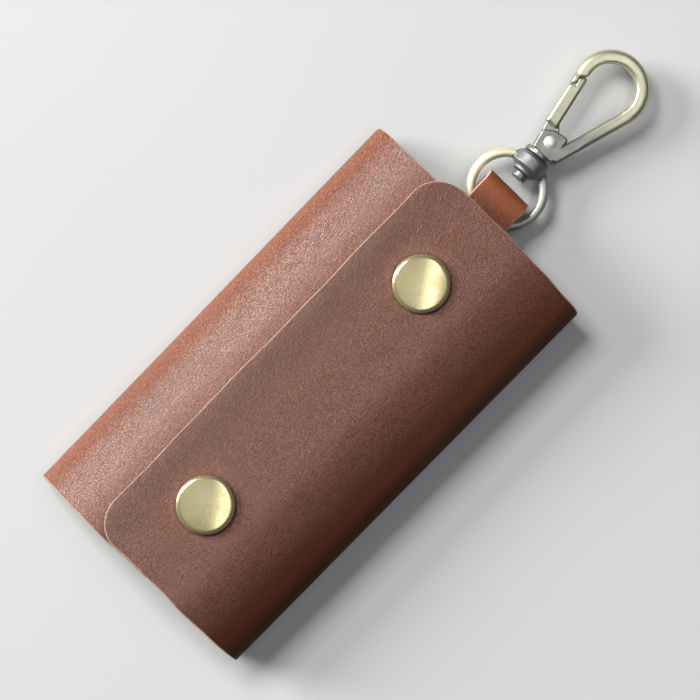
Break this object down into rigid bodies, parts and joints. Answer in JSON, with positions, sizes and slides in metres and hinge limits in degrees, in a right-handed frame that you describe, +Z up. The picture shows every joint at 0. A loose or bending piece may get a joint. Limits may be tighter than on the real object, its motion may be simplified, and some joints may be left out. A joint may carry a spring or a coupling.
{
  "type": "leather key case",
  "caption": "Folding leather key case with flaps closed by two snaps, swivelling key hooks inside and a spring-gate swivel clasp on a leather tab.",
  "frame": {"origin": "centre of the back panel's outer face, where the closed case lies on a table", "axes": "+X along the case towards the clasp, +Y across it towards the inner flap's fold, +Z up through the flaps"},
  "size_m": [0.1779, 0.067, 0.0195],
  "materials": {
    "case_leather": "waxed, satin, with creases and raw edges",
    "tab_leather": "waxed, satin",
    "antique_brass": "brushed, satin",
    "cast_nickel": "cast, plated in aged brass, satin",
    "gunmetal": "cast, plated dark, satin",
    "plated_steel": "nickel plated",
    "spring_steel": "bright"
  },
  "bodies": {
    "case_back": {"back_panel": "case_leather", "outer_fold": "case_leather", "inner_fold": "case_leather", "clasp_tab": "tab_leather", "tab_rivet_cap": "antique_brass", "tab_rivet_post": "antique_brass", "key_rack": "plated_steel", "rack_rivets": "plated_steel"},
    "outer_flap": {"outer_flap": "case_leather", "snap_caps": "antique_brass", "snap_sockets": "plated_steel", "socket_springs": "spring_steel"},
    "inner_flap": {"inner_flap": "case_leather", "snap_studs": "plated_steel", "stud_posts": "plated_steel"},
    "swivel_ring": {"swivel_ring": "gunmetal"},
    "clasp_hook": {"clasp_body": "cast_nickel", "gate_rivet": "cast_nickel", "gate_spring": "spring_steel"},
    "clasp_gate": {"clasp_gate": "cast_nickel"},
    "key_hook_1": {"key_hook_1": "antique_brass"},
    "key_gate_1": {"key_gate_1": "spring_steel"},
    "key_hook_2": {"key_hook_2": "antique_brass"},
    "key_gate_2": {"key_gate_2": "spring_steel"},
    "key_hook_3": {"key_hook_3": "antique_brass"},
    "key_gate_3": {"key_gate_3": "spring_steel"},
    "key_hook_4": {"key_hook_4": "antique_brass"},
    "key_gate_4": {"key_gate_4": "spring_steel"},
    "key_hook_5": {"key_hook_5": "antique_brass"},
    "key_gate_5": {"key_gate_5": "spring_steel"},
    "key_hook_6": {"key_hook_6": "antique_brass"},
    "key_gate_6": {"key_gate_6": "spring_steel"}
  },
  "joints": [
    {"name": "outer_flap_open", "type": "hinge", "parent": "case_back", "child": "outer_flap", "pos_m": [0, -0.0267, 0.0068], "axis": [1, 0, 0], "range_deg": [0, 155], "deforming": ["outer_fold"]},
    {"name": "inner_flap_open", "type": "hinge", "parent": "case_back", "child": "inner_flap", "pos_m": [0, 0.02847, 0.00503], "axis": [-1, 0, 0], "range_deg": [0, 70], "deforming": ["inner_fold"]},
    {"name": "ring_swing", "type": "hinge", "parent": "case_back", "child": "swivel_ring", "pos_m": [0.062, 0, 0.0047], "axis": [0.0349, -0.9994, 0], "range_deg": [0, 40]},
    {"name": "hook_swivel", "type": "hinge", "parent": "swivel_ring", "child": "clasp_hook", "pos_m": [0.08274, 0.00072, 0.0047], "axis": [0.9994, 0.0349, 0], "continuous": true},
    {"name": "gate_open", "type": "hinge", "parent": "clasp_hook", "child": "clasp_gate", "pos_m": [0.08714, 0.00088, 0.0047], "axis": [0, 0, -1], "range_deg": [0, 25], "stiffness_Nm_per_rad": 0.02, "springref_deg": -22.92, "deforming": ["gate_spring"]},
    {"name": "key_hook_1_swivel", "type": "hinge", "parent": "case_back", "child": "key_hook_1", "pos_m": [0.031, -0.0197, 0.0059], "axis": [1, 0, 0], "continuous": true},
    {"name": "key_gate_1_open", "type": "hinge", "parent": "key_hook_1", "child": "key_gate_1", "pos_m": [0.02855, -0.0197, 0.00665], "axis": [0, -1, 0], "range_deg": [0, 10], "stiffness_Nm_per_rad": 0.004, "springref_deg": -17.19},
    {"name": "key_hook_2_swivel", "type": "hinge", "parent": "case_back", "child": "key_hook_2", "pos_m": [0.031, -0.01147, 0.0059], "axis": [1, 0, 0], "continuous": true},
    {"name": "key_gate_2_open", "type": "hinge", "parent": "key_hook_2", "child": "key_gate_2", "pos_m": [0.02855, -0.01147, 0.00665], "axis": [0, -1, 0], "range_deg": [0, 10], "stiffness_Nm_per_rad": 0.004, "springref_deg": -17.19},
    {"name": "key_hook_3_swivel", "type": "hinge", "parent": "case_back", "child": "key_hook_3", "pos_m": [0.031, -0.00323, 0.0059], "axis": [1, 0, 0], "continuous": true},
    {"name": "key_gate_3_open", "type": "hinge", "parent": "key_hook_3", "child": "key_gate_3", "pos_m": [0.02855, -0.00323, 0.00665], "axis": [0, -1, 0], "range_deg": [0, 10], "stiffness_Nm_per_rad": 0.004, "springref_deg": -17.19},
    {"name": "key_hook_4_swivel", "type": "hinge", "parent": "case_back", "child": "key_hook_4", "pos_m": [0.031, 0.005, 0.0059], "axis": [1, 0, 0], "continuous": true},
    {"name": "key_gate_4_open", "type": "hinge", "parent": "key_hook_4", "child": "key_gate_4", "pos_m": [0.02855, 0.005, 0.00665], "axis": [0, -1, 0], "range_deg": [0, 10], "stiffness_Nm_per_rad": 0.004, "springref_deg": -17.19},
    {"name": "key_hook_5_swivel", "type": "hinge", "parent": "case_back", "child": "key_hook_5", "pos_m": [0.031, 0.01323, 0.0059], "axis": [1, 0, 0], "continuous": true},
    {"name": "key_gate_5_open", "type": "hinge", "parent": "key_hook_5", "child": "key_gate_5", "pos_m": [0.02855, 0.01323, 0.00665], "axis": [0, -1, 0], "range_deg": [0, 10], "stiffness_Nm_per_rad": 0.004, "springref_deg": -17.19},
    {"name": "key_hook_6_swivel", "type": "hinge", "parent": "case_back", "child": "key_hook_6", "pos_m": [0.031, 0.02147, 0.0059], "axis": [1, 0, 0], "continuous": true},
    {"name": "key_gate_6_open", "type": "hinge", "parent": "key_hook_6", "child": "key_gate_6", "pos_m": [0.02855, 0.02147, 0.00665], "axis": [0, -1, 0], "range_deg": [0, 10], "stiffness_Nm_per_rad": 0.004, "springref_deg": -17.19}
  ],
  "couplings": [
    {"joint": "inner_flap_open", "follows": "outer_flap_open", "ratio": 0.45}
  ]
}
